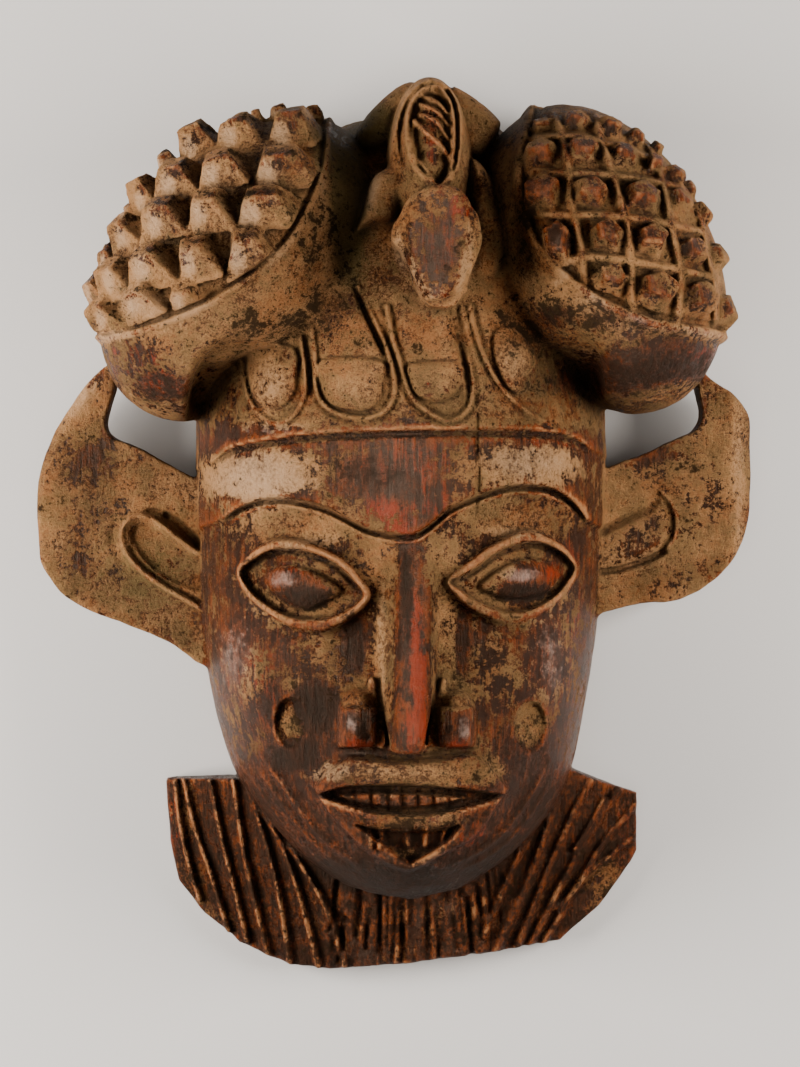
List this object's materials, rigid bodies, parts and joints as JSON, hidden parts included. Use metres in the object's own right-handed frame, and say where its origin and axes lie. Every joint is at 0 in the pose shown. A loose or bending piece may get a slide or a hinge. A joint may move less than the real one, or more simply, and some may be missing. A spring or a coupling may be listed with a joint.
{
  "type": "carved wooden face mask",
  "caption": "Carved wooden face mask with studded hair buns, a crest lizard, plate ears and a ribbed neck ruff, hollowed behind to be worn or hung.",
  "frame": {"origin": "centre of the bounding box, on the flat back that the mask lies on", "axes": "+X towards the viewer's right, +Y from the neck ruff up to the hair buns, +Z out of the face"},
  "size_m": [0.3435, 0.422, 0.1394],
  "materials": {
    "carved_wood": "hand-carved hardwood, dark brown satin patina worn to red-brown on the high places, with tan dust in the recesses"
  },
  "bodies": {
    "root": {"mask": "carved_wood"}
  },
  "joints": []
}
